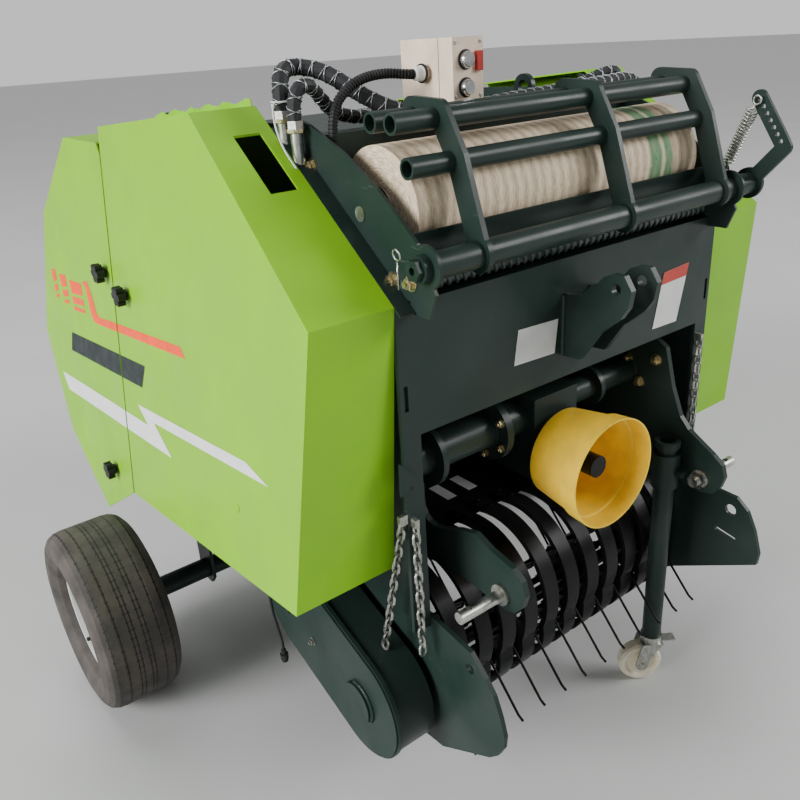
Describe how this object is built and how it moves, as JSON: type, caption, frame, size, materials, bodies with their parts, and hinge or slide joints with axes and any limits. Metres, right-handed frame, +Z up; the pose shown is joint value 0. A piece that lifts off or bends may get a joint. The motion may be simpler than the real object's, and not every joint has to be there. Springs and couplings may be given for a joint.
{
  "type": "round baler",
  "caption": "Compact round baler with net wrap on two wheels: roller chamber with lifting tailgate, tined pickup, drive guard and jack with caster",
  "frame": {"origin": "middle of the footprint on the floor, at the centre of the whole box", "axes": "X across the machine with the jack on +X, -Y towards the hitch and the tractor, Z up"},
  "size_m": [1.654, 1.612, 1.44],
  "materials": {
    "frame_paint": "dark grey-green semi-gloss paint",
    "roller_steel": "dark grey-green paint on ribbed steel",
    "zinc": "zinc-plated steel",
    "guard_yellow": "yellow moulded plastic",
    "black_paint": "black gloss paint",
    "net": "wound bale net",
    "box_plastic": "beige moulded plastic",
    "black_rubber": "black ribbed conduit and cable sheath",
    "hose_rubber": "hydraulic hose in a grey wound guard",
    "black_plastic": "black moulded plastic",
    "green_paint": "lime green gloss paint",
    "rod_chrome": "chromed rod",
    "tyre": "dark tyre rubber",
    "rim_silver": "silver paint",
    "white_nylon": "white nylon"
  },
  "bodies": {
    "frame": {"side_plate_left": "frame_paint", "side_plate_right": "frame_paint", "front_panel": "frame_paint", "toplink_ears": "frame_paint", "hitch_arms": "frame_paint", "hitch_pins": "zinc", "cross_tube": "frame_paint", "gearbox": "frame_paint", "pto_guard": "guard_yellow", "chamber_rollers": "roller_steel", "top_sheet": "frame_paint", "axle": "frame_paint", "net_cradle": "frame_paint", "net_tray": "frame_paint", "top_beam": "frame_paint", "brake_spring": "zinc", "control_box": "box_plastic", "box_conduit": "black_rubber", "hoses": "hose_rubber", "hoses_back": "black_rubber", "hose_ports": "zinc", "sensor_lead": "black_rubber", "sensor_plug": "black_plastic", "cover_left": "green_paint", "cover_right": "green_paint", "knobs_front": "black_plastic", "pickup_plates": "frame_paint", "pickup_top": "black_paint", "pickup_bands": "black_paint", "drive_case": "frame_paint", "chains": "zinc", "jack_sleeve": "frame_paint", "jack_tube": "frame_paint"},
    "tailgate": {"cover_rear_left": "green_paint", "cover_rear_right": "green_paint", "knobs_rear": "black_plastic", "tailgate_plates": "frame_paint", "tailgate_rollers": "roller_steel", "tailgate_beams": "frame_paint"},
    "cylinder_left": {"cylinder_left": "frame_paint"},
    "cylinder_right": {"cylinder_right": "frame_paint"},
    "rod_left": {"rod_left": "rod_chrome"},
    "rod_right": {"rod_right": "rod_chrome"},
    "wheel_left": {"tyre_left": "tyre", "rim_left": "rim_silver"},
    "wheel_right": {"tyre_right": "tyre", "rim_right": "rim_silver"},
    "reel": {"reel": "black_paint"},
    "drive_shaft": {"pto_shaft": "black_paint"},
    "net_roll": {"net_roll": "net", "net_spindle": "zinc"},
    "feed_roller": {"feed_roller": "roller_steel"},
    "net_gate": {"net_gate": "frame_paint", "gate_arms": "frame_paint"},
    "jack_leg": {"jack_leg": "frame_paint"},
    "caster_fork": {"caster_fork": "zinc"},
    "caster_wheel": {"caster_wheel": "white_nylon"}
  },
  "joints": [
    {"name": "tailgate_hinge", "type": "hinge", "parent": "frame", "child": "tailgate", "pos_m": [0, 0.195, 1.3], "axis": [1, 0, 0], "range_deg": [0, 60]},
    {"name": "cylinder_left_hinge", "type": "hinge", "parent": "frame", "child": "cylinder_left", "pos_m": [-0.44, -0.125, 0.76], "axis": [1, 0, 0], "range_deg": [0, 21]},
    {"name": "rod_left_slide", "type": "slide", "parent": "cylinder_left", "child": "rod_left", "axis": [0, 0.9104, 0.4138], "range_m": [0, 0.2935]},
    {"name": "wheel_left_spin", "type": "hinge", "parent": "frame", "child": "wheel_left", "pos_m": [-0.735, 0.202, 0.222], "axis": [1, 0, 0], "continuous": true},
    {"name": "cylinder_right_hinge", "type": "hinge", "parent": "frame", "child": "cylinder_right", "pos_m": [0.44, -0.125, 0.76], "axis": [1, 0, 0], "range_deg": [0, 21]},
    {"name": "rod_right_slide", "type": "slide", "parent": "cylinder_right", "child": "rod_right", "axis": [0, 0.9104, 0.4138], "range_m": [0, 0.2935]},
    {"name": "wheel_right_spin", "type": "hinge", "parent": "frame", "child": "wheel_right", "pos_m": [0.735, 0.202, 0.222], "axis": [1, 0, 0], "continuous": true},
    {"name": "reel_spin", "type": "hinge", "parent": "frame", "child": "reel", "pos_m": [0, -0.495, 0.283], "axis": [1, 0, 0], "continuous": true},
    {"name": "drive_shaft_spin", "type": "hinge", "parent": "frame", "child": "drive_shaft", "pos_m": [0, -0.595, 0.678], "axis": [0, -1, 0], "continuous": true},
    {"name": "net_roll_spin", "type": "hinge", "parent": "frame", "child": "net_roll", "pos_m": [0, -0.483, 1.2], "axis": [1, 0, 0], "continuous": true},
    {"name": "feed_roller_spin", "type": "hinge", "parent": "frame", "child": "feed_roller", "pos_m": [0, -0.577, 1.105], "axis": [1, 0, 0], "continuous": true},
    {"name": "net_gate_hinge", "type": "hinge", "parent": "frame", "child": "net_gate", "pos_m": [0, -0.635, 1.141], "axis": [1, 0, 0], "range_deg": [0, 90], "deforming": ["brake_spring"]},
    {"name": "jack_slide", "type": "slide", "parent": "frame", "child": "jack_leg", "axis": [0, 0, -1], "range_m": [0, 0.2]},
    {"name": "caster_swivel", "type": "hinge", "parent": "jack_leg", "child": "caster_fork", "pos_m": [0.251, -0.635, 0.125], "axis": [0, 0, 1], "continuous": true},
    {"name": "caster_spin", "type": "hinge", "parent": "caster_fork", "child": "caster_wheel", "pos_m": [0.23027, -0.62102, 0.05], "axis": [-0.5592, -0.829, 0], "continuous": true}
  ],
  "couplings": [
    {"joint": "drive_shaft_spin", "follows": "reel_spin", "ratio": 5},
    {"joint": "cylinder_left_hinge", "follows": "tailgate_hinge", "ratio": 0.348},
    {"joint": "rod_left_slide", "follows": "tailgate_hinge", "m_per_rad": 0.28},
    {"joint": "cylinder_right_hinge", "follows": "tailgate_hinge", "ratio": 0.348},
    {"joint": "rod_right_slide", "follows": "tailgate_hinge", "m_per_rad": 0.28}
  ]
}
